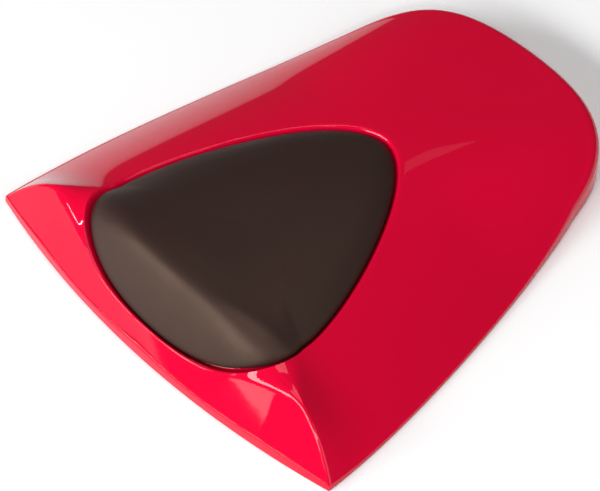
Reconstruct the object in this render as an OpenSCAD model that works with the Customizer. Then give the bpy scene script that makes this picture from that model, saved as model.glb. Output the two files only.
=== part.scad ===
// Solo seat cowl for a motorbike: a painted shell with a foam pad in a dish, and its fixings inside.
// X is across, +Y is to the rear and +Z is up. The trim edge lies in the plane z = 0.

/* [Cowl outline] */
// Length from the middle of the front lip to the tail
cowl_length = 310; // [298:1:322]
// Width between the two front corners
front_width = 270; // [260:1:280]
// How far the front lip bows forward
lip_bow = 16; // [13:1:19]
// Width where the tail corners start to turn
tail_width = 192; // [186:1:198]
// Distance from the tail to where its corners start
tail_turn = 70; // [64:1:76]

/* [Cowl section] */
// Height of the crest above the trim edge
crest_height = 48; // [44:1:52]
// Height of the tail above the trim edge
tail_height = 24; // [21:1:27]
// Slope of the front face
face_angle = 58; // [55:1:61]
// Height of the upright edge along the front lip
lip_edge = 5.5; // [4:0.5:7]
// Height of the upright edge along the sides
side_edge = 2.5; // [2:0.5:4]
// Width over which the crest is rounded
crest_round = 2.5; // [2:0.5:5]
// Wall of the shell
wall = 3; // [2.4:0.2:3.6]

/* [Pad] */
// Greatest width of the dish
dish_width = 157; // [151:1:163]
// Distance from the front corners to the dish apex
dish_apex = 171; // [164:1:178]
// Depth of the dish
dish_depth = 8; // [7:0.5:9]
// Gap between the dish rim and the pad at the front
pad_gap = 4; // [3:0.5:6]
// Thickness of the pad above its carrier
pad_thick = 7.5; // [6:0.5:9]
// Thickness of the pad carrier
carrier_thick = 2.5; // [2:0.5:3]
// Height of the flat seats under the carrier
seat_rise = 0.8; // [0.6:0.1:1.2]
// Diameter of the carrier studs
stud_d = 5; // [4:0.5:6]

/* [Latch] */
// Width of the bracket plate
bracket_w = 92; // [86:1:98]
// Thickness of the bracket plate
bracket_t = 2; // [1.5:0.5:3]
// Height of the underside of the bracket plate
bracket_z = 19; // [17:1:21]
// Diameter of the striker rod
striker_d = 7; // [6:0.5:8]
// Spacing of the striker legs
striker_span = 36; // [32:1:40]
// Height of the lowest point of the striker
striker_low = 3; // [2:0.5:4]

/* [Hook] */
// Width of the hook plate at its screws
hook_w = 46; // [42:1:50]
// Width of the tongue
tongue_w = 24; // [20:1:28]
// Thickness of the hook plate
hook_t = 2.5; // [2:0.5:3]
// Height of the underside of the hook plate
hook_z = 12; // [11:0.5:13]

/* [Fixings and feet] */
// Diameter of the screw shanks
screw_d = 4; // [3:0.5:5]
// Diameter of the brass inserts
insert_d = 6; // [5.5:0.1:6.5]
// Length of the brass inserts
insert_len = 6; // [5:0.5:7]
// Diameter of the rubber feet
foot_d = 16; // [14:1:18]
// Height of the rubber feet below their posts
foot_h = 6; // [5:0.5:7]
// Height of the feet above the trim plane
foot_low = 1.5; // [1:0.5:2.5]
// Diameter of the rubber stems
stem_d = 7; // [6:0.5:8]

/* [Hidden] */
$fn = 48;
// Lines round the dish on one half: from the front middle to the crest, and on to the tail
front_lines = 12;
side_lines = 30;
half_lines = front_lines + side_lines;
// Clearance round what is pushed into a bore
fit_gap = 0.1;
// All places below are measured rearwards from the front corners, and moved here at the end
corner_y = lip_bow - cowl_length / 2;
run = cowl_length - lip_bow;
half_front = front_width / 2;
dish_half = dish_width / 2;
dish_front = 7 - lip_bow;
dish_widest = 36;

// Dish: width of its wall in plan, and the share of it that is left at the sides
dish_run = 6;
side_share = 1;
// Rounding of the crest at the rim, and under the pad at its middle and at its corners
rim_round = 26;
pad_round = 14;
corner_round = 30;
floor_insets = [46, 28, 14];
// Lowest point of the inside face, clear of the trim edge
inner_low = 0.4;
// Largest radius from the trim edge into the surface, and rings of the mesh outside and inside
tail_round = 7;
top_rings = 8;
inner_rings = 5;
wall_rings = 5;
// Pad section from its middle to its foot: inset beyond the gap, and share of the thickness
pad_profile = [[39, 1], [26, 0.96], [16, 0.88], [10, 0.77], [5, 0.6], [2, 0.44], [0.3, 0.24], [0.6, 0.08]];
pad_sides = 28;
// Carrier: height above the dish floor, insets of its rings, its studs and their seats
carrier_low = seat_rise + 0.6;
carrier_insets = [pad_gap + 2, 28, 46];
seat_d = 14;
seat_boss = 1.2;
stud_len = 5;
front_studs = [28, 46];
rear_studs = [20, 122];
stud_spots = [for (x = [-1, 1], p = [front_studs, rear_studs]) [x * p[0], p[1]]];
spring_t = 0.8;
// Posts and ribs under the wall
post_sides = 20;
post_r = 5.5;
foot_post_r = 6.5;
rib_t = 2;
rib_h = 6;
deep_rib_h = rib_h + 2;
rib_over = 10;
// Clearance of a screw and of the striker rod in their holes, and depth of a bore past its insert
screw_gap = 0.5;
rod_gap = 0.3;
bore_over = 2;
head_h = 2.6;
screw_edge = 9;
// Latch plate: its place and length, its flanges and screws
latch_s = 88;
bracket_l = 42;
plate_corner = 5;
flange_h = 7;
flange_w = bracket_w - 44;
latch_x = bracket_w / 2 - screw_edge;
latch_spots = [for (x = [-1, 1], y = [-1, 1]) [x * latch_x, latch_s + y * (bracket_l / 2 - screw_edge)]];
cross_rib = [48, latch_s - 30];
// Striker: bend radius, collar, washers and nuts
bend_r = striker_d / 2 + 4.5;
collar_t = 2;
washer_t = 1.2;
nut_h = 5.5;
nut_wide = striker_d * 1.83;
striker_top = bracket_z + bracket_t + washer_t + nut_h + 1.5;
// Hook plate: its middle and length, its joggle and its tip inside the tail wall
hook_s = run - 62;
hook_l = 22;
hook_rib_x = hook_w / 2 - 8;
hook_spots = [for (x = [-1, 1]) [x * hook_rib_x, hook_s]];
joggle = 8;
tongue_z = 5;
tongue_tip = run - wall - 6;
// Rubber feet
stem_len = 8;
front_feet = [for (x = [-1, 1]) [x * 62, 46]];
rear_feet = [for (x = [-1, 1]) [x * 66, run - 76]];
function foot_depth(p) = p[1] < dish_apex ? dish_depth : 0;

function bezier(a, b, c, d, t) =
    a * pow(1 - t, 3) + 3 * b * t * pow(1 - t, 2) + 3 * c * t * t * (1 - t) + d * pow(t, 3);
function blend(a, b, t) = a + (b - a) * t;
function ease(t) = let (c = min(1, max(0, t))) c * c * (3 - 2 * c);

// Plan outline of one side: the lip arc, the flank and the tail corner
function lip_at(x) = -lip_bow * (1 - pow(x / half_front, 2));
function flank_at(t) = bezier([half_front, 0], [half_front + 1, 55],
    [tail_width / 2 + 20.5, run - tail_turn - 62], [tail_width / 2, run - tail_turn], t);
function tail_at(t) = bezier([tail_width / 2, run - tail_turn], [tail_width / 2 - 9, run - tail_turn + 22],
    [tail_width / 2 - 7, run], [0, run], t);

// Height of the cowl: a crowned section that is fullest at the crest and at the tail,
// cut off in front by the sloping face
function middle_height(s) = let (t = s / run)
    crest_height + 0.3 - (crest_height - tail_height) * (t + t * t) / 2;
function section_half(s) = let (t = s / run)
    bezier(half_front + 0.5, half_front - 2.5, tail_width / 2 + 3, tail_width / 2 + 2, t);
function fullness(s) = 2.45 + 1.3 * exp(-pow(max(0, s - 6) / 18, 2)) + 1.9 * ease((s - 160) / 110);
function crown(x, s) = (middle_height(s) - side_edge)
    * (1 - pow(min(1, abs(x) / section_half(s)), fullness(s)));
function face(x, s) = (s - lip_at(x)) * tan(face_angle);
function edge_height(x, s) = side_edge
    + (lip_edge - side_edge) * ease((half_front - abs(x)) / 50) * (1 - ease(s / 24));
function crown_tilt(x, s) =
    norm([1, crown(x + 0.5, s) - crown(x - 0.5, s), crown(x, s + 0.5) - crown(x, s - 0.5)]);
// Height at a plan point, with the surface let in by a depth and its crest rounded
function skin(x, s, depth, round_by) =
    let (a = crown(x, s) - depth * crown_tilt(x, s), b = face(x, s) - depth / cos(face_angle),
        near = max(0, round_by - abs(a - b)) / round_by)
    edge_height(x, s) + min(a, b) - near * near * round_by / 4;
function crest_s(x, n = 4) = n == 0 ? lip_at(x) + 20
    : lip_at(x) + crown(x, crest_s(x, n - 1)) / tan(face_angle);

// Plan outline of the dish, drawn in by an inset: t runs 0 to 1 in front and 1 to 2 behind
function dish_at(t, inset) = let (front = dish_front + inset, side = inset * side_share)
    t < 1
    ? bezier([0, front], [30, front], [dish_half + 10 - side, 0.6 * inset + 1.5 * min(inset, 8) - 7],
        [dish_half - side, dish_widest], t)
    : bezier([dish_half - side, dish_widest], [dish_half - side, dish_widest * 2],
        [dish_half - 43 - side / 2, dish_apex - side], [0, dish_apex - side], t - 1);
// The crest under the pad is rounded more towards the corners
function bend(x) = blend(pad_round, corner_round, ease((abs(x) - 45) / 35));
// Where the dish outline meets the crest
crest_turn = 0.765;
dish_middle = [0, 62];

// Line i of one half: its outer end on the trim edge and its inner end on the dish rim
function trim_end(i) = i <= front_lines
    ? let (x = half_front * pow(i / front_lines, 0.9)) [x, lip_at(x)]
    : let (f = (i - front_lines) / side_lines) f < 0.6 ? flank_at(f / 0.6) : tail_at((f - 0.6) / 0.4);
function rim_turn(i) = i <= front_lines ? crest_turn * pow(i / front_lines, 0.9)
    : blend(crest_turn, 2, (i - front_lines) / side_lines);
// Plan point at a distance inwards from the trim edge, bent so that one line follows the crest
function line_length(i) = norm(dish_at(rim_turn(i), 0) - trim_end(i));
function along(i, d) =
    let (outer = trim_end(i), inner = dish_at(rim_turn(i), 0), t = d / norm(inner - outer),
        p = blend(outer, inner, min(1, t)), q = blend([half_front, 0], dish_at(crest_turn, 0), min(1, t)),
        pull = ease(1 - abs(i - front_lines) / 8))
    t <= 1 ? p + [0, (crest_s(q[0]) - q[1]) * pull] : dish_at(rim_turn(i), d - norm(inner - outer));

// A closed loft: one point above, a list of rings with as many points each, one point below
module loft(top, rings, bottom) {
    n = len(rings[0]);
    last = len(rings) - 1;
    end = 1 + n * len(rings);
    function at(r, i) = 1 + r * n + (i + n) % n;
    polyhedron(
        points = concat([top], [for (r = rings) for (p = r) p], [bottom]),
        faces = concat(
            [for (i = [0 : n - 1]) [0, at(0, i + 1), at(0, i)]],
            [for (r = [0 : last - 1]) for (i = [0 : n - 1]) [at(r, i), at(r, i + 1), at(r + 1, i)]],
            [for (r = [0 : last - 1]) for (i = [0 : n - 1]) [at(r, i + 1), at(r + 1, i + 1), at(r + 1, i)]],
            [for (i = [0 : n - 1]) [end, at(last, i), at(last, i + 1)]]));
}
// A full ring from the points of one half, which runs from the front middle to the tail middle
function mirrored(half) = concat(half,
    [for (i = [len(half) - 2 : -1 : 1]) [-half[i][0], half[i][1], half[i][2]]]);
function plan(p, z) = [p[0], p[1], z];
function in_dish(p, depth) = plan(p, skin(p[0], p[1], depth, bend(p[0])));
function on_skin(p, depth, round_by) = plan(p, skin(p[0], p[1], depth, round_by));
// Ring let in by a depth, with each line's distance from the trim edge, and its mirror. The rounding
// of the crest goes from one at the rim of the dish to the one of the floor as the ring sinks.
function ring(depth, distances, round_by, sunk = 0, low = -1) =
    mirrored([for (i = [0 : half_lines]) let (p = along(i, distances[i]))
        plan(p, max(low, skin(p[0], p[1], depth, blend(round_by, bend(p[0]), sunk))))]);

// Rounding of the crest between the rim of the dish, at 0, and the trim edge, at 1
function crest_by(t) = blend(rim_round, crest_round, ease(2 * t));

// Upright edge of the trim: its height and the radius that leads into the surface
function edge_top(i) = let (p = trim_end(i)) skin(p[0], p[1] + 0.01, 0, 0.01);
function edge_r(i) = min(tail_round, max(1.2, 0.4 * edge_top(i)));
function edge_ring(out, down) =
    mirrored([for (i = [0 : half_lines]) let (r = edge_r(i), q = along(i, r))
        plan(along(i, r * out), max(edge_top(i) * 0.3, skin(q[0], q[1], 0, crest_round) - down * r))]);

module shell_skin() {
    reach = [for (i = [0 : half_lines]) line_length(i)];
    step_out = [for (d = reach) max(wall + 0.8, d - wall - 1)];
    step_in = [for (d = reach) d + dish_run - wall];
    floor_rings = [for (g = floor_insets) [for (i = [0 : half_lines]) dish_at(rim_turn(i), g)]];
    outside = concat(
        // Floor of the dish, from the middle outwards
        [for (r = floor_rings) mirrored([for (p = r) in_dish(p, dish_depth)])],
        // Wall of the dish
        [for (m = [1 : -1 / wall_rings : 0.5 / wall_rings])
            ring(dish_depth * ease(m), [for (d = reach) d + m * dish_run], rim_round, ease(m))],
        // Top and front face, from the rim to the edge radius
        [for (j = [0 : top_rings]) ring(0, [for (i = [0 : half_lines])
            blend(reach[i], edge_r(i), j / top_rings)], crest_by(j / top_rings))],
        [edge_ring(0.35, 0.35), edge_ring(0.08, 1)],
        [mirrored([for (i = [0 : half_lines]) plan(trim_end(i), 0)])]);
    inside = concat(
        [mirrored([for (i = [0 : half_lines]) plan(along(i, wall), 0)])],
        [for (j = [0 : inner_rings]) ring(wall, [for (d = step_out) blend(wall + 0.3, d, j / inner_rings)],
            crest_by(1 - j / inner_rings), 0, inner_low)],
        [for (m = [0.25 : 0.25 : 1]) ring(wall + dish_depth * ease(m),
            [for (i = [0 : half_lines]) blend(step_out[i], step_in[i], m)], rim_round, m)],
        [for (k = [len(floor_rings) - 1 : -1 : 0])
            mirrored([for (p = floor_rings[k]) in_dish(p, dish_depth + wall)])]);
    loft(in_dish(dish_middle, dish_depth), concat(outside, inside),
        in_dish(dish_middle, dish_depth + wall));
}

// Moulded post that hangs from the inside of the wall, with its foot flat at a height
module post(at, r, low, depth) {
    spots = [for (k = [0 : post_sides - 1]) at + r * [cos(360 * k / post_sides), sin(360 * k / post_sides)]];
    roof = [for (p = spots) in_dish(p, depth + wall / 2)];
    loft(in_dish(at, depth + wall / 2), [roof, [for (p = spots) plan(p, low)]], plan(at, low));
}
// Moulded rib under the wall between two plan points
module rib(from, to, depth, deep) {
    steps = 8;
    side = rib_t / 2 * [from[1] - to[1], to[0] - from[0]] / norm(to - from);
    function section(t) = let (p = blend(from, to, t), z = in_dish(p, depth + wall / 2)[2])
        [plan(p + side, z), plan(p + side, z - deep), plan(p - side, z - deep), plan(p - side, z)];
    function centre(q) = (q[0] + q[2]) / 2;
    loft(centre(section(0)), [for (j = [0 : steps]) section(j / steps)], centre(section(1)));
}
// Flat seats for the carrier studs, one on each side of the dish floor
function seat_top(p) = in_dish(p, dish_depth)[2] + seat_rise;
function seat_low(p) = in_dish(p, dish_depth + wall)[2] - seat_boss;
module up(p, z, h, d) translate([p[0], p[1], z]) cylinder(d = d, h = h);

module placed() translate([0, corner_y, 0]) children();

module cowl_shell() color("crimson") placed() {
    difference() {
        union() {
            shell_skin();
            for (p = stud_spots) up(p, seat_low(p), seat_top(p) - seat_low(p), seat_d);
            for (p = latch_spots) post(p, post_r, bracket_z + bracket_t, dish_depth);
            for (p = hook_spots) post(p, post_r, hook_z + hook_t, 0);
            for (p = concat(front_feet, rear_feet)) post(p, foot_post_r, foot_low + foot_h, foot_depth(p));
            rib(rear_feet[0], rear_feet[1], 0, rib_h);
            rib([-cross_rib[0], cross_rib[1]], cross_rib, dish_depth, rib_h);
            for (x = [-1, 1]) {
                rib([x * hook_rib_x, rear_feet[0][1] - rib_over], [x * hook_rib_x, run - 20], 0, deep_rib_h);
                rib([x * latch_x, cross_rib[1] - rib_over], [x * latch_x, latch_s + rib_over],
                    dish_depth, deep_rib_h);
            }
        }
        for (p = stud_spots) up(p, seat_low(p) - 1, seat_top(p) - seat_low(p) + 2, stud_d + screw_gap);
        for (p = latch_spots) up(p, bracket_z + bracket_t - 1, insert_len + bore_over + 1, insert_d + fit_gap);
        for (p = hook_spots) up(p, hook_z + hook_t - 1, insert_len + bore_over + 1, insert_d + fit_gap);
        for (p = concat(front_feet, rear_feet)) up(p, foot_low + foot_h - 1, stem_len + 2, stem_d + fit_gap);
    }
}

// Pad and carrier: both follow the dish floor, raised along its normal, on every second line
function on_floor(p, rise) = in_dish(p, dish_depth - carrier_low - rise);
function floor_normal(p) = let (
    across = on_floor(p + [1, 0], carrier_thick) - on_floor(p - [1, 0], carrier_thick),
    rearward = on_floor(p + [0, 1], carrier_thick) - on_floor(p - [0, 1], carrier_thick),
    n = cross(across, rearward)) n / norm(n);
pad_lines = [for (i = [0 : pad_sides]) 2 * i / pad_sides];
function carrier_ring(inset, rise) = mirrored([for (t = pad_lines) on_floor(dish_at(t, inset), rise)]);
function pad_ring(inset, height) = mirrored([for (t = pad_lines) let (p = dish_at(t, inset))
    on_floor(p, carrier_thick) + height * floor_normal(p)]);

module back_pad() color([0.17, 0.15, 0.14]) placed()
    loft(on_floor(dish_middle, carrier_thick) + pad_thick * floor_normal(dish_middle), concat(
        [for (k = pad_profile) pad_ring(pad_gap + k[0], pad_thick * k[1])],
        [for (g = carrier_insets) carrier_ring(g, carrier_thick)]),
        on_floor(dish_middle, carrier_thick));

module pad_base() color([0.1, 0.1, 0.1]) placed() {
    loft(on_floor(dish_middle, carrier_thick), concat(
        [for (i = [2 : -1 : 0]) carrier_ring(carrier_insets[i], carrier_thick)],
        [for (g = carrier_insets) carrier_ring(g, 0)]),
        on_floor(dish_middle, 0));
    for (p = stud_spots) {
        up(p, seat_top(p), carrier_low + carrier_thick / 2, seat_d - 3);
        up(p, seat_low(p) - stud_len, seat_top(p) - seat_low(p) + stud_len + 1, stud_d);
    }
}

module push_nut(p) {
    inner = (stud_d + fit_gap) / 2;
    outer = seat_d / 2 - spring_t;
    translate([p[0], p[1], seat_low(p)]) difference() {
        rotate_extrude() polygon([[inner, -2 * spring_t], [inner + 2 * spring_t, -spring_t], [outer, -spring_t],
            [outer, 0], [inner + 1.6 * spring_t, 0], [inner, -spring_t]]);
        for (a = [0 : 60 : 120]) rotate(a) cube([stud_d + 3 * spring_t, spring_t, 6 * spring_t], center = true);
    }
}
module pad_push_nuts() color("silver") placed() for (p = stud_spots) push_nut(p);

// Flat plate with rounded corners, made of true arcs
module plate(w, l, t, r) linear_extrude(t) {
    square([w - 2 * r, l], center = true);
    square([w, l - 2 * r], center = true);
    for (x = [-1, 1], y = [-1, 1]) translate([x * (w / 2 - r), y * (l / 2 - r)]) circle(r);
}
module latch_bracket() color("silver") placed() difference() {
    union() {
        translate([0, latch_s, bracket_z]) plate(bracket_w, bracket_l, bracket_t, plate_corner);
        for (y = [-1, 1]) translate([0, latch_s + y * (bracket_l - bracket_t) / 2, bracket_z - flange_h / 2])
            cube([flange_w, bracket_t, flange_h], center = true);
    }
    for (p = latch_spots) up(p, bracket_z - 1, bracket_t + 2, screw_d + screw_gap);
    for (x = [-1, 1]) up([x * striker_span / 2, latch_s], bracket_z - 1, bracket_t + 2, striker_d + rod_gap);
}
module striker_loop() color("gainsboro") placed() translate([0, latch_s, 0]) {
    z = striker_low + striker_d / 2;
    translate([-striker_span / 2 + bend_r, 0, z]) rotate([0, 90, 0])
        cylinder(d = striker_d, h = striker_span - 2 * bend_r);
    for (x = [0, 1]) mirror([x, 0, 0]) {
        translate([striker_span / 2 - bend_r, 0, z + bend_r]) rotate([90, 0, 0]) rotate([0, 0, -90])
            rotate_extrude(angle = 90) translate([bend_r, 0]) circle(d = striker_d);
        translate([striker_span / 2, 0, z + bend_r]) cylinder(d = striker_d, h = striker_top - z - bend_r);
        translate([striker_span / 2, 0, bracket_z - collar_t]) cylinder(d = nut_wide, h = collar_t);
    }
}
module striker_washers() color("silver") placed() for (x = [-1, 1]) difference() {
    up([x * striker_span / 2, latch_s], bracket_z + bracket_t, washer_t, striker_d * 2);
    up([x * striker_span / 2, latch_s], bracket_z, washer_t + 5, striker_d + rod_gap);
}
module striker_nuts() color("silver") placed() for (x = [-1, 1]) difference() {
    translate([x * striker_span / 2, latch_s, bracket_z + bracket_t + washer_t])
        cylinder(d = nut_wide, h = nut_h, $fn = 6);
    up([x * striker_span / 2, latch_s], bracket_z, 20, striker_d + fit_gap);
}

module insert(p, z) difference() {
    up(p, z, insert_len, insert_d);
    up(p, z - 1, insert_len + 2, screw_d + fit_gap);
}
// Screw with its head under a plate of some thickness
module screw(p, z, through) {
    difference() {
        up(p, z - head_h, head_h, screw_d * 1.9);
        translate([p[0], p[1], z - head_h - 1]) cylinder(d = screw_d * 0.75, h = head_h * 0.6 + 1, $fn = 6);
    }
    up(p, z - 0.5, through + insert_len, screw_d);
}
module latch_inserts() color("goldenrod") placed() for (p = latch_spots) insert(p, bracket_z + bracket_t);
module latch_screws() color("dimgray") placed() for (p = latch_spots) screw(p, bracket_z, bracket_t);
module hook_inserts() color("goldenrod") placed() for (p = hook_spots) insert(p, hook_z + hook_t);
module hook_screws() color("dimgray") placed() for (p = hook_spots) screw(p, hook_z, hook_t);

// Tongue: a plate joggled down towards the tail
module hook_plate() color("silver") placed() difference() {
    union() {
        translate([0, hook_s, hook_z]) plate(hook_w, hook_l, hook_t, plate_corner);
        translate([-tongue_w / 2, 0, 0]) rotate([90, 0, 90]) linear_extrude(tongue_w)
            polygon([[hook_s, hook_z], [hook_s + hook_l / 2, hook_z], [hook_s + hook_l / 2 + joggle, tongue_z],
                [tongue_tip - 1, tongue_z], [tongue_tip, tongue_z + 1], [tongue_tip, tongue_z + hook_t - 1],
                [tongue_tip - 1, tongue_z + hook_t], [hook_s + hook_l / 2 + joggle + 1, tongue_z + hook_t],
                [hook_s + hook_l / 2 + 1, hook_z + hook_t], [hook_s, hook_z + hook_t]]);
    }
    for (p = hook_spots) up(p, hook_z - 1, hook_t + 2, screw_d + screw_gap);
}

// Rubber buffer: a flat head with rounded edges and a stem that plugs into the post
module foot(p) translate([p[0], p[1], foot_low]) rotate_extrude() {
    r = foot_d / 2;
    polygon([[0, 0], [r - 1.5, 0], [r - 0.44, 0.44], [r, 1.5], [r, foot_h - 1], [r - 1, foot_h],
        [stem_d / 2, foot_h], [stem_d / 2, foot_h + stem_len - 1.5], [stem_d / 2 - 1.5, foot_h + stem_len],
        [0, foot_h + stem_len]]);
}
module front_foot_left() color([0.12, 0.12, 0.12]) placed() foot(front_feet[0]);
module front_foot_right() color([0.12, 0.12, 0.12]) placed() foot(front_feet[1]);
module rear_foot_left() color([0.12, 0.12, 0.12]) placed() foot(rear_feet[0]);
module rear_foot_right() color([0.12, 0.12, 0.12]) placed() foot(rear_feet[1]);

cowl_shell();
back_pad();
pad_base();
pad_push_nuts();
latch_bracket();
striker_loop();
striker_washers();
striker_nuts();
latch_inserts();
latch_screws();
hook_plate();
hook_inserts();
hook_screws();
front_foot_left();
front_foot_right();
rear_foot_left();
rear_foot_right();
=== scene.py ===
from math import cos, sin, tan, exp, hypot, pi, radians

import bmesh
import bpy
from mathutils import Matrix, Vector


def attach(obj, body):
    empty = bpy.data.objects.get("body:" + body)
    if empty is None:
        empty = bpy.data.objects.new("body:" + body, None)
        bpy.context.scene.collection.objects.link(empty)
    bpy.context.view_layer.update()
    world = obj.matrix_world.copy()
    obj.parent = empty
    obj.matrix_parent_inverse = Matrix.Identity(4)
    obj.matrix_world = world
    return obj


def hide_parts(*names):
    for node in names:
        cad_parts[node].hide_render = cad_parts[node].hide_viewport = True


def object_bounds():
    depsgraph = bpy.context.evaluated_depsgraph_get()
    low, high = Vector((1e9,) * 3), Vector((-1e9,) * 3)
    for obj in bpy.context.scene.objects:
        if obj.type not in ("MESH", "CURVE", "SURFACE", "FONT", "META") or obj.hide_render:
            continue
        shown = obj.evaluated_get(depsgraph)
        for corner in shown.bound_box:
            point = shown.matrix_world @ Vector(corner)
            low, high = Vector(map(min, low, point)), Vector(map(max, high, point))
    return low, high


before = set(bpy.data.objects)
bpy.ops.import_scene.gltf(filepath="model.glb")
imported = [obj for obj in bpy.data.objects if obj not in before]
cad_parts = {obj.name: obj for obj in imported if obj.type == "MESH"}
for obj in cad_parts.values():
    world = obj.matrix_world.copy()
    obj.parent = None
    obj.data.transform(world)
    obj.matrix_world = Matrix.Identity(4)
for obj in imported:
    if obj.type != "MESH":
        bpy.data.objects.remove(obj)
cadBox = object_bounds()

# Sizes repeat part.scad, in millimetres: x is across, and s is measured rearwards from the front corners
cowl = dict(length=310, width=270, bow=16, tail=192, turn=70, crest=48, tailHeight=24, angle=58,
            lipEdge=5.5, sideEdge=2.5, lipFade=50, cornerFade=24, crestRound=2.5, wall=3, innerLow=0.4,
            flankPulls=(1, 55, 20.5, 62), tailPulls=(9, 22, 7))
# The section across is a power of the width, with a higher power at the crest and at the tail
section = dict(power=2.45, crestPower=1.3, crestFrom=6, crestFade=18, tailPower=1.9, tailFrom=160,
               tailFade=110, rise=0.3, frontSpread=(0.5, -2.5), tailSpread=(3, 2))
dish = dict(width=157, apex=171, depth=8, widest=36, front=7, run=6, side=1, rimRound=26, midRound=14,
            cornerRound=30, bendFrom=45, bendOver=35, frontPull=30, sidePull=10, apexPull=43,
            cornerDrop=7, cornerShare=0.6, cornerExtra=1.5, cornerLimit=8, middle=(0, 62))
# Lines of one half run from the trim edge to the dish, and the last front line follows the crest
layout = dict(front=12, side=30, spacing=0.9, flankShare=0.6, crestTurn=0.765, crestPull=8)

cornerY = cowl["bow"] - cowl["length"] / 2
run = cowl["length"] - cowl["bow"]
half = cowl["width"] / 2
tailHalf = cowl["tail"] / 2
tailStart = run - cowl["turn"]
slope = tan(radians(cowl["angle"]))


def bezier(a, b, c, d, t):
    u = 1 - t
    if isinstance(a, (int, float)):
        return a * u ** 3 + 3 * b * t * u * u + 3 * c * t * t * u + d * t ** 3
    return tuple(bezier(a[k], b[k], c[k], d[k], t) for k in (0, 1))


def ease(t):
    t = min(1, max(0, t))
    return t * t * (3 - 2 * t)


def blend(a, b, t):
    return a + (b - a) * t


def lipAt(x):
    return -cowl["bow"] * (1 - (x / half) ** 2)


def flankAt(t):
    out, ahead, tailOut, back = cowl["flankPulls"]
    return bezier((half, 0), (half + out, ahead), (tailHalf + tailOut, tailStart - back),
                  (tailHalf, tailStart), t)


def tailAt(t):
    side, back, corner = cowl["tailPulls"]
    return bezier((tailHalf, tailStart), (tailHalf - side, tailStart + back), (tailHalf - corner, run),
                  (0, run), t)


# Height of the top above its side edge, without the front face
def crown(x, s):
    t = s / run
    middle = cowl["crest"] + section["rise"] - (cowl["crest"] - cowl["tailHeight"]) * (t + t * t) / 2
    front = [half + d for d in section["frontSpread"]]
    tail = [tailHalf + d for d in section["tailSpread"]]
    wide = bezier(*front, *tail, t)
    nearCrest = exp(-(max(0, s - section["crestFrom"]) / section["crestFade"]) ** 2)
    nearTail = ease((s - section["tailFrom"]) / section["tailFade"])
    power = section["power"] + section["crestPower"] * nearCrest + section["tailPower"] * nearTail
    return (middle - cowl["sideEdge"]) * (1 - min(1, abs(x) / wide) ** power)


# Height of the skin at a depth below the outside: the lower of top and face, rounded over roundBy
def skin(x, s, depth, roundBy):
    tilt = 1
    if depth:
        tilt = hypot(1, crown(x + 0.5, s) - crown(x - 0.5, s), crown(x, s + 0.5) - crown(x, s - 0.5))
    top = crown(x, s) - depth * tilt
    face = (s - lipAt(x)) * slope - depth / cos(radians(cowl["angle"]))
    near = max(0, roundBy - abs(top - face)) / roundBy
    fromCorner, fromTail = ease((half - abs(x)) / cowl["lipFade"]), 1 - ease(s / cowl["cornerFade"])
    edge = cowl["sideEdge"] + (cowl["lipEdge"] - cowl["sideEdge"]) * fromCorner * fromTail
    return edge + min(top, face) - near * near * roundBy / 4


# Where face and top meet, found in six steps from a guess 20 mm behind the lip
def crestAt(x, steps=6):
    return lipAt(x) + (20 if steps == 0 else crown(x, crestAt(x, steps - 1)) / slope)


# Outline of the dish, moved in by inset: t runs from the front middle, past the widest place at 1, to 2
def dishAt(t, inset):
    front, side = dish["front"] - cowl["bow"] + inset, inset * dish["side"]
    w, widest, apex = dish["width"] / 2, dish["widest"], dish["apex"] - side
    if t < 1:
        deep = dish["cornerShare"] * inset + dish["cornerExtra"] * min(inset, dish["cornerLimit"])
        corner = (w + dish["sidePull"] - side, deep - dish["cornerDrop"])
        return bezier((0, front), (dish["frontPull"], front), corner, (w - side, widest), t)
    return bezier((w - side, widest), (w - side, widest * 2), (w - dish["apexPull"] - side / 2, apex),
                  (0, apex), t - 1)


# The floor of the dish is rounded over the crest, and more so towards the corners
def bend(x):
    return blend(dish["midRound"], dish["cornerRound"], ease((abs(x) - dish["bendFrom"]) / dish["bendOver"]))


def inDish(x, s, depth):
    return (x, s, skin(x, s, depth, bend(x)))


def trimEnd(i):
    if i <= layout["front"]:
        x = half * (i / layout["front"]) ** layout["spacing"]
        return (x, lipAt(x))
    t, flank = (i - layout["front"]) / layout["side"], layout["flankShare"]
    return flankAt(t / flank) if t < flank else tailAt((t - flank) / (1 - flank))


def rimTurn(i):
    if i <= layout["front"]:
        return layout["crestTurn"] * (i / layout["front"]) ** layout["spacing"]
    return blend(layout["crestTurn"], 2, (i - layout["front"]) / layout["side"])


def lineEnds(i):
    outer, inner = trimEnd(i), dishAt(rimTurn(i), 0)
    return outer, inner, hypot(inner[0] - outer[0], inner[1] - outer[1])


# The place on line i at distance d from the trim edge; lines close to the crest are pulled onto it
def along(i, d):
    outer, inner, length = lineEnds(i)
    if d / length > 1:
        return dishAt(rimTurn(i), d - length)
    t, corner = d / length, dishAt(layout["crestTurn"], 0)
    crestX, crestS = blend(half, corner[0], t), corner[1] * t
    pull = ease(1 - abs(i - layout["front"]) / layout["crestPull"])
    return (blend(outer[0], inner[0], t), blend(outer[1], inner[1], t) + (crestAt(crestX) - crestS) * pull)


def toMetres(p):
    return Vector((p[0] / 1000, (p[1] + cornerY) / 1000, p[2] / 1000))


def mirrored(row):
    return row + [(-p[0], p[1], p[2]) for p in row[-2:0:-1]]


def useSecondMaterial(made):
    for f in made:
        if isinstance(f, bmesh.types.BMFace):
            f.material_index = 1


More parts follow.
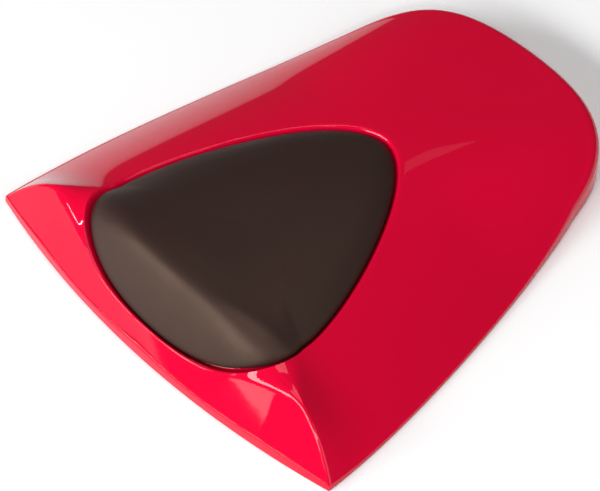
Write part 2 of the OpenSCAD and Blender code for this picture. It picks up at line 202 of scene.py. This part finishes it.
# A closed skin in bm: a circle of edges is extruded from ring to ring, and fans close both ends.
# Faces beyond ring splitAt take the second material. Without tips the last ring meets the first.
def loft(bm, top, rings, bottom, splitAt=None):
    start = bmesh.ops.create_circle(bm, segments=len(rings[0]), radius=1)["verts"]
    for v, p in zip(start, rings[0]):
        v.co = toMetres(p)
    firstEdges = edges = list(dict.fromkeys(e for v in start for e in v.link_edges))
    last = start
    for k, row in enumerate(rings[1:] + ([] if top else rings[:1])):
        made = bmesh.ops.extrude_edge_only(bm, edges=edges)["geom"]
        new = {v for v in made if isinstance(v, bmesh.types.BMVert)}
        raised = {}
        for v in new:
            raised[next(e.other_vert(v) for e in v.link_edges if e.other_vert(v) not in new)] = v
        last = [raised[v] for v in last]
        for v, p in zip(last, row):
            v.co = toMetres(p)
        edges = [e for e in made if isinstance(e, bmesh.types.BMEdge) and new.issuperset(e.verts)]
        if splitAt is not None and k >= splitAt:
            useSecondMaterial(made)
    if not top:
        bmesh.ops.remove_doubles(bm, verts=start + last, dist=1e-7)
        return
    for tip, rim in ((top, firstEdges), (bottom, edges)):
        fan = bmesh.ops.extrude_edge_only(bm, edges=rim)["geom"]
        points = [v for v in fan if isinstance(v, bmesh.types.BMVert)]
        if tip is bottom and splitAt is not None:
            useSecondMaterial(fan)
        bmesh.ops.pointmerge(bm, verts=points, merge_co=toMetres(tip))


# Extrusion leaves edges and faces in an order that changes from run to run, and the cloth run feels it
def putInOrder(bm):
    bm.verts.index_update()
    count = len(bm.verts)

    def rank(element):
        lowest = sorted(v.index for v in element.verts)[:3]
        return sum(index * count ** (2 - k) for k, index in enumerate(lowest))

    bm.edges.sort(key=rank)
    bm.faces.sort(key=rank)


def addPiece(name, bm, materials, slotName, *nodes, sharp=35):
    putInOrder(bm)
    bmesh.ops.recalc_face_normals(bm, faces=bm.faces)
    mesh = bpy.data.meshes.new(name)
    bm.to_mesh(mesh)
    bm.free()
    piece = bpy.data.objects.new(name, mesh)
    bpy.context.scene.collection.objects.link(piece)
    for m in materials:
        mesh.materials.append(m)
    mesh.shade_smooth()
    mesh.set_sharp_from_angle(angle=radians(sharp))
    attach(piece, "root")
    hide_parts(*nodes)
    return piece


# Grain shared by all materials: fine height, and a slow unevenness from 0 to 1
def grainGroup():
    group = bpy.data.node_groups.new("surfaceGrain", "ShaderNodeTree")
    for name, value in (("Grain Scale", 900.0), ("Cloud Scale", 30.0)):
        socket = group.interface.new_socket(name, in_out="INPUT", socket_type="NodeSocketFloat")
        socket.default_value = value
    for name in ("Height", "Cloud"):
        group.interface.new_socket(name, in_out="OUTPUT", socket_type="NodeSocketFloat")
    nodes, links = group.nodes, group.links
    entry, out = nodes.new("NodeGroupInput"), nodes.new("NodeGroupOutput")
    coords = nodes.new("ShaderNodeTexCoord")
    for name, result, detail in (("Grain Scale", "Height", 3), ("Cloud Scale", "Cloud", 2)):
        noise = nodes.new("ShaderNodeTexNoise")
        noise.inputs["Detail"].default_value = detail
        links.new(coords.outputs["Object"], noise.inputs["Vector"])
        links.new(entry.outputs[name], noise.inputs["Scale"])
        links.new(noise.outputs["Fac"], out.inputs[result])
    return group


grain = grainGroup()
surface = dict(cloudFrom=0.3, cloudTo=0.7, bumpDepth=0.0004)


# color and tint are the two ends of the slow unevenness, and so are the two roughnesses
def material(name, color, tint, rough, bump=0.0, grainScale=900, cloudScale=30, **sockets):
    m = bpy.data.materials.new(name)
    m.use_nodes = True
    nodes, links = m.node_tree.nodes, m.node_tree.links
    shader = nodes["Principled BSDF"]
    for key, value in sockets.items():
        shader.inputs[key.replace("_", " ")].default_value = value
    source = nodes.new("ShaderNodeGroup")
    source.node_tree = grain
    source.inputs["Grain Scale"].default_value = grainScale
    source.inputs["Cloud Scale"].default_value = cloudScale
    spread = nodes.new("ShaderNodeMapRange")
    spread.inputs["From Min"].default_value = surface["cloudFrom"]
    spread.inputs["From Max"].default_value = surface["cloudTo"]
    links.new(source.outputs["Cloud"], spread.inputs["Value"])
    mix = nodes.new("ShaderNodeMix")
    mix.data_type = "RGBA"
    mix.inputs["A"].default_value = (*color, 1)
    mix.inputs["B"].default_value = (*tint, 1)
    links.new(spread.outputs["Result"], mix.inputs["Factor"])
    links.new(mix.outputs["Result"], shader.inputs["Base Color"])
    glossy = nodes.new("ShaderNodeMapRange")
    glossy.inputs["To Min"].default_value, glossy.inputs["To Max"].default_value = rough
    links.new(spread.outputs["Result"], glossy.inputs["Value"])
    links.new(glossy.outputs["Result"], shader.inputs["Roughness"])
    if bump:
        raised = nodes.new("ShaderNodeBump")
        raised.inputs["Strength"].default_value = bump
        raised.inputs["Distance"].default_value = surface["bumpDepth"]
        links.new(source.outputs["Height"], raised.inputs["Height"])
        links.new(raised.outputs["Normal"], shader.inputs["Normal"])
    return m


paint = material("redPaint", (0.65, 0.001, 0.031), (0.63, 0.001, 0.0295), (0.5, 0.5), cloudScale=14,
                 Specular_IOR_Level=0.0, Coat_Weight=1.0, Coat_Roughness=0.035, Coat_IOR=1.33)
rawPlastic = material("rawPlastic", (0.020, 0.020, 0.021), (0.026, 0.026, 0.027), (0.42, 0.55), bump=0.25,
                      grainScale=1400)
foam = material("padFoam", (0.0240, 0.0102, 0.0098), (0.0195, 0.0090, 0.0083), (0.5, 0.6), bump=0.25,
                grainScale=1600, cloudScale=26, Specular_IOR_Level=0.57,
                Specular_Tint=(1.0, 0.72, 0.52, 1.0))
carrierPlastic = material("carrierPlastic", (0.010, 0.009, 0.009), (0.013, 0.012, 0.012), (0.6, 0.7),
                          bump=0.2, Specular_IOR_Level=0.2)
zinc = material("zincPlate", (0.60, 0.60, 0.57), (0.50, 0.51, 0.50), (0.28, 0.42), bump=0.08,
                grainScale=2500, cloudScale=90, Metallic=1.0)
steel = material("striker", (0.66, 0.66, 0.66), (0.58, 0.58, 0.58), (0.2, 0.32), bump=0.05,
                 grainScale=2500, cloudScale=120, Metallic=1.0)
brass = material("brass", (0.72, 0.50, 0.20), (0.62, 0.42, 0.16), (0.25, 0.4), bump=0.08,
                 grainScale=3000, cloudScale=200, Metallic=1.0)
blackSteel = material("blackSteel", (0.045, 0.045, 0.048), (0.06, 0.06, 0.062), (0.35, 0.5), bump=0.08,
                      grainScale=2500, cloudScale=200, Metallic=0.8)
rubber = material("rubber", (0.022, 0.022, 0.022), (0.03, 0.03, 0.029), (0.65, 0.8), bump=0.4,
                  grainScale=1500, cloudScale=80)
finishes = dict(pad_base=carrierPlastic, pad_push_nuts=steel, latch_bracket=zinc, striker_loop=steel,
                striker_washers=zinc, striker_nuts=zinc, latch_inserts=brass, hook_inserts=brass,
                latch_screws=blackSteel, hook_screws=blackSteel, hook_plate=zinc, front_foot_left=rubber,
                front_foot_right=rubber, rear_foot_left=rubber, rear_foot_right=rubber)
for node, finish in finishes.items():
    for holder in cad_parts[node].material_slots:
        holder.material = finish
print("surface and materials ready")

# Fine shell, with more lines close to the crest, where the rounding is tight. Insets are from the rim.
shell = dict(perLine=2, crestSteps=(0.02, 0.045, 0.075, 0.11, 0.16, 0.24, 0.36), wallRings=16, topRings=40,
             edgeRings=6, insideTop=20, insideWall=8, floorInsets=(46, 40, 34, 28, 23, 18, 14, 12, 11),
             insideInsets=(11, 14, 18, 23, 28, 34, 40, 46), edgeMost=7, edgeLeast=1.2, edgeShare=0.4,
             edgeStart=0.08, edgeFloor=0.3, stepIn=1)


def lineNumbers():
    count = layout["front"] + layout["side"]
    numbers = {i / shell["perLine"] for i in range(count * shell["perLine"] + 1)}
    for d in shell["crestSteps"]:
        numbers |= {layout["front"] - d, layout["front"] + d}
    return sorted(numbers)


# Height of the trim edge on line i, and the radius that rounds it
def trimSizes(i):
    x, s = trimEnd(i)
    top = skin(x, s + 0.01, 0, 0.01)
    return top, min(shell["edgeMost"], max(shell["edgeLeast"], shell["edgeShare"] * top))


lines = lineNumbers()
reach = [lineEnds(i)[2] for i in lines]
trims = [trimSizes(i) for i in lines]


# A ring at a depth; sunk blends the rounding from the crest's, at 0, to the dish floor's, at 1
def ringAt(depth, distances, roundBy, sunk=0, low=-1):
    row = []
    for i, d in zip(lines, distances):
        x, s = along(i, d)
        row.append((x, s, max(low, skin(x, s, depth, blend(roundBy, bend(x), sunk)))))
    return mirrored(row)


def floorRing(inset, depth):
    return mirrored([inDish(*dishAt(rimTurn(i), inset), depth) for i in lines])


# A ring round the trim edge: out and down are shares of the radius there
def edgeRing(out, down):
    row = []
    for i, (top, r) in zip(lines, trims):
        high = skin(*along(i, r), 0, cowl["crestRound"])
        row.append((*along(i, r * out), max(top * shell["edgeFloor"], high - down * r)))
    return mirrored(row)


# Rounding of the crest between the rim of the dish, at 0, and the trim edge, at 1
def crestBy(t):
    return blend(dish["rimRound"], cowl["crestRound"], ease(2 * t))


def outerRings():
    rings = [floorRing(g, dish["depth"]) for g in shell["floorInsets"]]
    for k in range(shell["wallRings"]):
        m = 1 - k / shell["wallRings"]
        rings.append(ringAt(dish["depth"] * ease(m), [d + m * dish["run"] for d in reach],
                            dish["rimRound"], ease(m)))
    for k in range(shell["topRings"] + 1):
        t = k / shell["topRings"]
        rings.append(ringAt(0, [blend(d, r, t) for d, (top, r) in zip(reach, trims)], crestBy(t)))
    for k in range(1, shell["edgeRings"] + 1):
        a = pi / 2 * k / shell["edgeRings"]
        rings.append(edgeRing(shell["edgeStart"] + (1 - shell["edgeStart"]) * (1 - sin(a)), 1 - cos(a)))
    rings.append(mirrored([(*trimEnd(i), 0) for i in lines]))
    return rings


def innerRings():
    wall = cowl["wall"]
    ends = [max(wall + 0.8, d - wall - shell["stepIn"]) for d in reach]
    rings = [mirrored([(*along(i, wall), 0) for i in lines])]
    for k in range(shell["insideTop"] + 1):
        t = k / shell["insideTop"]
        distances = [blend(wall + 0.3, d, t) for d in ends]
        rings.append(ringAt(wall, distances, crestBy(1 - t), 0, cowl["innerLow"]))
    for k in range(1, shell["insideWall"] + 1):
        m = k / shell["insideWall"]
        distances = [blend(a, d + dish["run"] - wall, m) for a, d in zip(ends, reach)]
        rings.append(ringAt(wall + dish["depth"] * ease(m), distances, dish["rimRound"], m))
    return rings + [floorRing(g, dish["depth"] + wall) for g in shell["insideInsets"]]


# Posts, seats and ribs of the same moulding: a foot is the height of a post's flat end
fittings = dict(
    sides=40, postRadius=5.5, insertBore=3.05, insertDeep=8, stemPost=6.5, stemBore=3.55, stemDeep=9,
    latchPosts=[(x * 37, 88 + y * 12) for x in (-1, 1) for y in (-1, 1)], latchFoot=21,
    hookPosts=[(x * 15, run - 62) for x in (-1, 1)], hookFoot=14.5,
    frontFeet=[(x * 62, 46) for x in (-1, 1)], rearFeet=[(x * 66, run - 76) for x in (-1, 1)], rubberFoot=7.5,
    studs=[(x * a, s) for x in (-1, 1) for a, s in ((28, 46), (20, 122))], studBore=2.75,
    seatRadius=7, seatRise=0.8, seatDrop=1.2, endRound=0.5, boreLead=0.4,
    ribThick=2, ribDeep=6, ribPieces=16, ribTaper=0.7, ribRound=0.2, crossDeep=8,
    frontRib=((-48, 58), (48, 58)), tailRibs=(15, run - 86, run - 20), latchRibs=(37, 48, 98))


# Without a height, the circle lies in the middle of the shell's wall
def circleAt(at, r, z=None, depth=0):
    n = fittings["sides"]
    spots = [(at[0] + r * cos(2 * pi * k / n), at[1] + r * sin(2 * pi * k / n)) for k in range(n)]
    return [(*p, z) if z is not None else inDish(*p, depth + cowl["wall"] / 2) for p in spots]


def post(bm, at, r, bore, foot, deep, depth):
    blunt, lead = fittings["endRound"], fittings["boreLead"]
    circles = [(r, foot + blunt), (r - 0.3 * blunt, foot + 0.3 * blunt), (r - blunt, foot),
               (bore + lead, foot), (bore, foot + lead), (bore, foot + deep), (bore / 2, foot + deep)]
    rings = [circleAt(at, r, None, depth)] + [circleAt(at, radius, z) for radius, z in circles]
    loft(bm, inDish(*at, depth + cowl["wall"] / 2), rings, (*at, foot + deep), 0)


def rib(bm, start, end, depth, deep):
    across = Vector((start[1] - end[1], end[0] - start[0])).normalized() * fittings["ribThick"] / 2
    thin, rows = fittings["ribTaper"], []
    for k in range(fittings["ribPieces"] + 1):
        x, s = (blend(a, b, k / fittings["ribPieces"]) for a, b in zip(start, end))
        z = inDish(x, s, depth + cowl["wall"] / 2)[2]
        low = z - deep
        side = [(across.x, across.y, z), (across.x * thin, across.y * thin, low + fittings["ribRound"]),
                (across.x * thin * thin, across.y * thin * thin, low)]
        rows.append([(x + a, s + b, c) for a, b, c in side] + [(x - a, s - b, c) for a, b, c in side[::-1]])
    tips = [tuple(sum(p[k] for p in row) / len(row) for k in range(3)) for row in (rows[0], rows[-1])]
    loft(bm, tips[0], rows, tips[1], 0)


def seat(bm, at):
    high = inDish(*at, dish["depth"])[2] + fittings["seatRise"]
    low = inDish(*at, dish["depth"] + cowl["wall"])[2] - fittings["seatDrop"]
    r, bore = fittings["seatRadius"], fittings["studBore"]
    circles = [(r, high), (r, low + 0.3), (r - 0.3, low), (bore, low), (bore, high)]
    loft(bm, None, [circleAt(at, radius, z) for radius, z in circles], None, 0)


outside = outerRings()
bm = bmesh.new()
loft(bm, inDish(*dish["middle"], dish["depth"]), outside + innerRings(),
     inDish(*dish["middle"], dish["depth"] + cowl["wall"]), len(outside) - 1)
insert = (fittings["postRadius"], fittings["insertBore"])
for places, foot, depth in (("latchPosts", "latchFoot", dish["depth"]), ("hookPosts", "hookFoot", 0)):
    for p in fittings[places]:
        post(bm, p, *insert, fittings[foot], fittings["insertDeep"], depth)
stem = (fittings["stemPost"], fittings["stemBore"])
for p in fittings["frontFeet"] + fittings["rearFeet"]:
    depth = dish["depth"] if p[1] < dish["apex"] else 0
    post(bm, p, *stem, fittings["rubberFoot"], fittings["stemDeep"], depth)
for p in fittings["studs"]:
    seat(bm, p)
rib(bm, *fittings["rearFeet"], 0, fittings["ribDeep"])
rib(bm, *fittings["frontRib"], dish["depth"], fittings["ribDeep"])
for side in (-1, 1):
    for (x, first, last), depth in ((fittings["tailRibs"], 0), (fittings["latchRibs"], dish["depth"])):
        rib(bm, (side * x, first), (side * x, last), depth, fittings["crossDeep"])
addPiece("shell", bm, [paint, rawPlastic], "red_gloss", "cowl_shell")
print("shell ready")

# Pad: rings follow the dish floor, raised along its normal. Its ridge is sharper than the floor's bend.
# Each pair of the profile is a distance in from the pad's edge, and a share of the thickness.
pad = dict(gap=4, thick=7.5, carrier=2.5, low=1.4, sides=150, ridge=4, cornerRidge=20, ridgeFrom=25,
           ridgeOver=45, follow=3, step=1.6, capRings=24, underInsets=(2, 8, 14, 20, 28, 36, 44),
           pressure=4.0, swell=0.0007, frames=14, quality=6, heldBelow=-0.2, evenOut=30,
           profile=((0.7, 0.04), (0.25, 0.1), (0, 0.17), (0.3, 0.26), (0.9, 0.36), (2, 0.46), (3.4, 0.55),
                    (5, 0.63), (7.5, 0.72), (10, 0.79), (13, 0.85), (16, 0.895), (21, 0.94), (26, 0.97),
                    (33, 0.99), (40, 1)))


def onFloor(x, s, rise, share=0.0):
    ridge = blend(pad["ridge"], pad["cornerRidge"], ease((abs(x) - pad["ridgeFrom"]) / pad["ridgeOver"]))
    return Vector((x, s, skin(x, s, dish["depth"] - pad["low"] - rise, blend(bend(x), ridge, share))))


def floorNormal(x, s):
    rise = pad["carrier"]
    across = onFloor(x + 1, s, rise) - onFloor(x - 1, s, rise)
    rearward = onFloor(x, s + 1, rise) - onFloor(x, s - 1, rise)
    return across.cross(rearward).normalized()


def padPoint(x, s, share):
    return tuple(onFloor(x, s, pad["carrier"], share) + pad["thick"] * share * floorNormal(x, s))


# Close to the edge a ring follows the rim of the dish, and from there it shrinks towards the middle
def padRing(inset, share, toMiddle=0):
    row, (middleX, middleS) = [], dish["middle"]
    for k in range(pad["sides"] + 1):
        x, s = dishAt(2 * k / pad["sides"], pad["gap"] + min(inset, pad["follow"]))
        far = hypot(middleX - x, middleS - s)
        t = toMiddle + (1 - toMiddle) * max(0, inset - pad["follow"]) / far
        row.append(padPoint(blend(x, middleX, t), blend(s, middleS, t), share))
    return mirrored(row)


def padRows():
    points = pad["profile"][::-1]
    rows = [padRing(points[0][0], 1, m / pad["capRings"]) for m in range(pad["capRings"] - 1, 0, -1)]
    for (a, high), (b, low) in zip(points, points[1:]):
        pieces = max(1, round(abs(a - b) / pad["step"]))
        rows += [padRing(blend(a, b, k / pieces), blend(high, low, k / pieces)) for k in range(pieces)]
    return rows + [padRing(*points[-1])] + [padRing(g, 0) for g in pad["underInsets"]]


# The pad swells a little in a cloth run, held by its underside, and the movement is evened out
def inflate(piece):
    scene, mesh = bpy.context.scene, piece.data
    start = [v.co.copy() for v in mesh.vertices]
    held = piece.vertex_groups.new(name="held")
    held.add([v.index for v in mesh.vertices if v.normal.z < pad["heldBelow"]], 1.0, "REPLACE")
    cloth = piece.modifiers.new("cloth", "CLOTH")
    cloth.settings.use_pressure = True
    cloth.settings.uniform_pressure_force = pad["pressure"]
    cloth.settings.effector_weights.gravity = 0
    cloth.settings.vertex_group_mass = "held"
    cloth.settings.quality = pad["quality"]
    cloth.point_cache.frame_start, cloth.point_cache.frame_end = 1, pad["frames"]
    for frameNumber in range(1, pad["frames"] + 1):
        scene.frame_set(frameNumber)
    swollen = piece.evaluated_get(bpy.context.evaluated_depsgraph_get()).data
    moves = [after.co - before for before, after in zip(start, swollen.vertices)]
    near = [[] for v in start]
    for a, b in (e.vertices for e in mesh.edges):
        near[a].append(b)
        near[b].append(a)
    for again in range(pad["evenOut"]):
        moves = [sum((moves[k] for k in found), m) / (len(found) + 1) for m, found in zip(moves, near)]
    for v, before, move in zip(mesh.vertices, start, moves):
        v.co = before + move * min(1, pad["swell"] / max(move.length, 1e-9))
    piece.modifiers.remove(cloth)
    piece.vertex_groups.remove(held)
    scene.frame_set(1)


bm = bmesh.new()
loft(bm, padPoint(*dish["middle"], 1), padRows(), padPoint(*dish["middle"], 0))
padPiece = addPiece("backPad", bm, [foam], "pad_foam", "back_pad", sharp=180)
inflate(padPiece)
print("pad ready")

# Studio: the floor, the lamps and the camera, in metres and degrees
stage = dict(floor=(0.99, 0.99, 0.99), floorRough=(0.95, 0.95), floorSize=6.0, floorDrop=0.0005,
             world=(1, 1, 1, 1), worldStrength=0.1, lampDistance=3)
bm = bmesh.new()
bmesh.ops.create_grid(bm, x_segments=1, y_segments=1, size=stage["floorSize"])
floorMesh = bpy.data.meshes.new("floor")
bm.to_mesh(floorMesh)
bm.free()
floor = bpy.data.objects.new("floor", floorMesh)
floorMesh.materials.append(material("floorPaper", stage["floor"], stage["floor"], stage["floorRough"]))
floor.location.z = cadBox[0].z - stage["floorDrop"]
bpy.context.scene.collection.objects.link(floor)

world = bpy.data.worlds.new("studio")
world.use_nodes = True
background = world.node_tree.nodes["Background"]
background.inputs["Color"].default_value = stage["world"]
background.inputs["Strength"].default_value = stage["worldStrength"]
bpy.context.scene.world = world

# light is the lamp's share of a plain level of 1 on a surface that faces it
lamps = dict(
    window=dict(turn=-8, height=27, wide=3.2, tall=0.6, light=1.22),
    over=dict(turn=90, height=86, wide=1.6, tall=1.6, light=0.3),
    side=dict(turn=95, height=30, wide=1.6, tall=1.6, light=0.22),
    crest=dict(turn=50, height=40, wide=0.2, tall=0.2, light=0.08),
    rim=dict(turn=-42, height=20, wide=0.35, tall=0.12, light=0.07),
    glint=dict(turn=-13, height=6, wide=0.36, tall=0.36, light=0.02),
    patch=dict(turn=-152, height=46, wide=0.13, tall=0.18, light=0.0004))
for name, lamp in lamps.items():
    light = bpy.data.lights.new(name, "AREA")
    light.shape = "RECTANGLE"
    light.size, light.size_y = lamp["wide"], lamp["tall"]
    light.energy = lamp["light"] * pi * pi * stage["lampDistance"] ** 2
    holder = bpy.data.objects.new(name, light)
    turn, height = radians(lamp["turn"]), radians(lamp["height"])
    toward = Vector((sin(turn) * cos(height), -cos(turn) * cos(height), sin(height)))
    holder.location = toward * stage["lampDistance"]
    holder.rotation_euler = toward.to_track_quat("Z", "Y").to_euler()
    bpy.context.scene.collection.objects.link(holder)

view = dict(lens=142.29, sensor=36, place=(0.62475, -0.62804, 1.02516), turn=(39.916, -0.627, 47.206))
cameraData = bpy.data.cameras.new("camera")
cameraData.lens, cameraData.sensor_width = view["lens"], view["sensor"]
camera = bpy.data.objects.new("camera", cameraData)
camera.location = view["place"]
camera.rotation_euler = [radians(a) for a in view["turn"]]
bpy.context.scene.collection.objects.link(camera)
bpy.context.scene.camera = camera
bpy.context.scene.view_settings.view_transform = "Standard"
print("studio ready")
